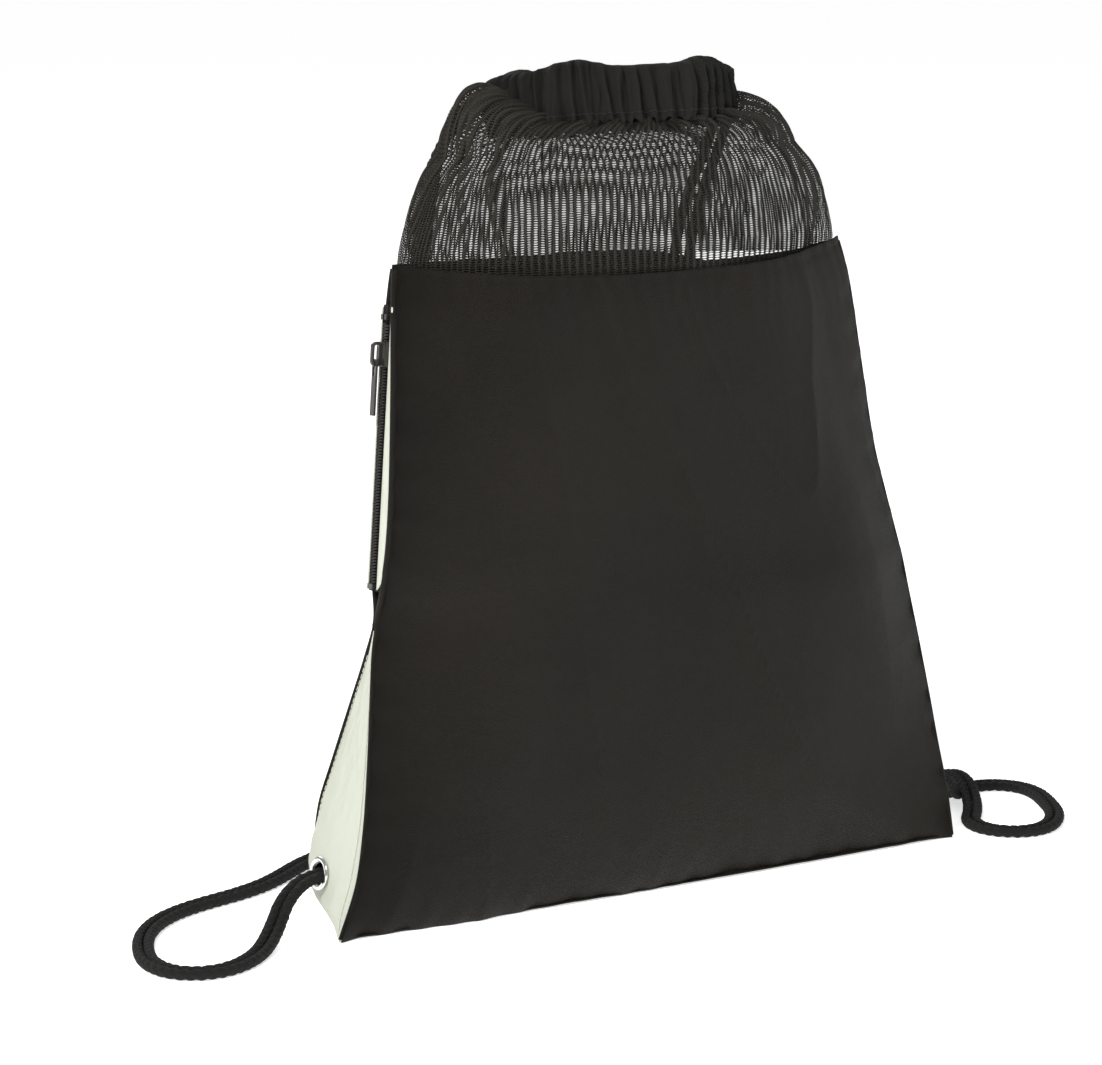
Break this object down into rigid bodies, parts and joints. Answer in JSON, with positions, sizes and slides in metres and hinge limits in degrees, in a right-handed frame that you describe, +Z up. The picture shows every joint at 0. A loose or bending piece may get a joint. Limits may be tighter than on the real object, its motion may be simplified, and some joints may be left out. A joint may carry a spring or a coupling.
{
  "type": "drawstring backpack",
  "caption": "Soft drawstring backpack standing stuffed, with a gathered net top, doubled cords, a side-zipped pocket and corner gussets with eyelets.",
  "frame": {"origin": "under the middle of the bag's body, on the surface it stands on", "axes": "+Z up towards the gathered mouth, +X to the bag's right as seen from its front, front panel facing -Y"},
  "size_m": [0.5443, 0.1568, 0.4054],
  "materials": {
    "black_cloth": "plain-woven polyester, nearly black with a warm cast",
    "lining_cloth": "thin woven lining",
    "ivory_cloth": "plain-woven polyester, ivory",
    "black_net": "knitted net with fine holes in columns",
    "casing_cloth": "net doubled over cloth, gathered",
    "zip_tape": "woven zipper tape",
    "zip_coil": "nylon coil",
    "zip_metal": "dark gunmetal",
    "nickel": "polished nickel",
    "cord": "braided polyester cord"
  },
  "bodies": {
    "bag": {"front_panel": "black_cloth", "back_panel": "black_cloth", "front_lining": "lining_cloth", "bottom_panel": "black_cloth", "gusset_left": "ivory_cloth", "gusset_right": "ivory_cloth", "mesh_front": "black_net", "mesh_back": "black_net", "channel_front": "casing_cloth", "channel_back": "casing_cloth", "zip_tape_front": "zip_tape", "zip_tape_back": "zip_tape", "zip_coil_front": "zip_coil", "zip_coil_back": "zip_coil", "zip_bottom_stop": "zip_metal", "zip_stop_front": "zip_metal", "zip_stop_back": "zip_metal", "placket_front": "ivory_cloth", "placket_back": "ivory_cloth", "seam_right": "black_cloth", "grommet_left": "nickel", "grommet_right": "nickel", "grommet_washer_left": "nickel", "grommet_washer_right": "nickel", "drawcord_left": "cord", "drawcord_right": "cord", "cord_knot_left": "cord", "cord_knot_right": "cord"},
    "slider": {"zip_slider": "zip_metal"},
    "pull": {"zip_pull": "zip_metal"}
  },
  "joints": [
    {"name": "zip_slide", "type": "slide", "parent": "bag", "child": "slider", "axis": [0.1097, 0.0757, 0.9911], "range_m": [-0.1, 0.01]},
    {"name": "pull_hinge", "type": "hinge", "parent": "slider", "child": "pull", "pos_m": [-0.13866, -0.00538, 0.26739], "axis": [0, 0.9971, -0.0761], "range_deg": [0, 145]}
  ]
}
